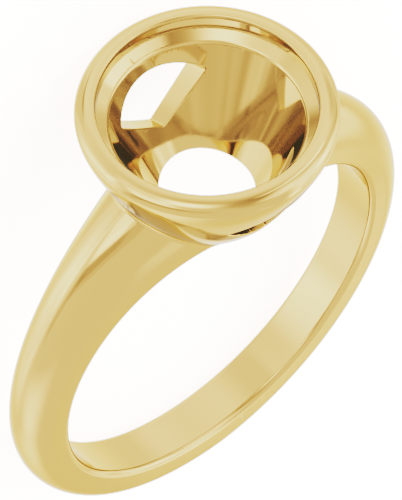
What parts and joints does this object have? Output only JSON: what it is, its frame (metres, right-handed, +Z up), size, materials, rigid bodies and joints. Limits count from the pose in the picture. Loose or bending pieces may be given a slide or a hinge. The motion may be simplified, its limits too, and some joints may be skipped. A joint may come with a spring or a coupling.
{
  "type": "solitaire ring mounting",
  "caption": "Polished gold solitaire engagement ring with an empty round bezel: D-shaped shank widening to the shoulders, conical cup with rolled lip, stone seat and cut-out windows.",
  "frame": {"origin": "centre of the finger hole, on its axis, midway through the shank", "axes": "the ring lies on its back: +Y from the finger hole towards the bezel, level with the table, +X across the ring, +Z up from the table"},
  "size_m": [0.0212, 0.0252, 0.0105],
  "materials": {
    "gold": "high-polish yellow gold"
  },
  "bodies": {
    "root": {"ring_mounting": "gold"}
  },
  "joints": []
}
